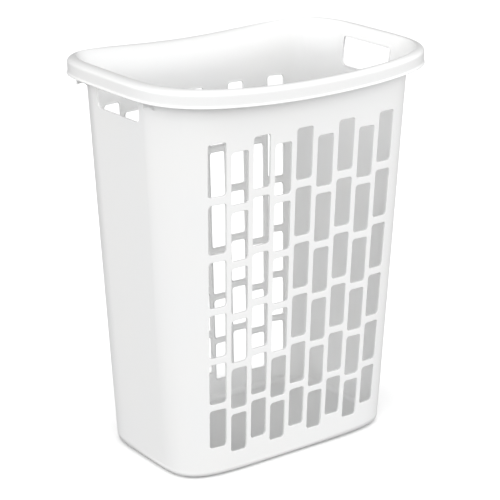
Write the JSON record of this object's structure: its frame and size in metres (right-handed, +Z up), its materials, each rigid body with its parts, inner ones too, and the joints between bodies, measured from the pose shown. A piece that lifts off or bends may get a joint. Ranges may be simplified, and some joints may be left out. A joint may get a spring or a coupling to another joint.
{
  "type": "laundry hamper",
  "caption": "Open-topped rectangular laundry hamper with slotted long walls, solid ends with hand holes, and a wide rolled rim that rises at the ends.",
  "frame": {"origin": "centre of the underside, on the floor plane", "axes": "+Z up, +X along the length towards the right-hand handle, -Y towards the vented front"},
  "size_m": [0.5272, 0.3636, 0.6385],
  "materials": {
    "walls": "fine satin moulded texture",
    "base": "fine satin moulded texture",
    "rim": "smooth semi-gloss",
    "gussets": "satin"
  },
  "bodies": {
    "root": {"base_panel": "base", "front_wall": "walls", "back_wall": "walls", "left_end_wall": "walls", "right_end_wall": "walls", "front_left_corner": "walls", "front_right_corner": "walls", "back_left_corner": "walls", "back_right_corner": "walls", "front_rim": "rim", "back_rim": "rim", "left_handle_rim": "rim", "right_handle_rim": "rim", "front_left_rim_corner": "rim", "front_right_rim_corner": "rim", "back_left_rim_corner": "rim", "back_right_rim_corner": "rim", "front_left_gusset": "gussets", "front_right_gusset": "gussets", "back_left_gusset": "gussets", "back_right_gusset": "gussets"}
  },
  "joints": []
}
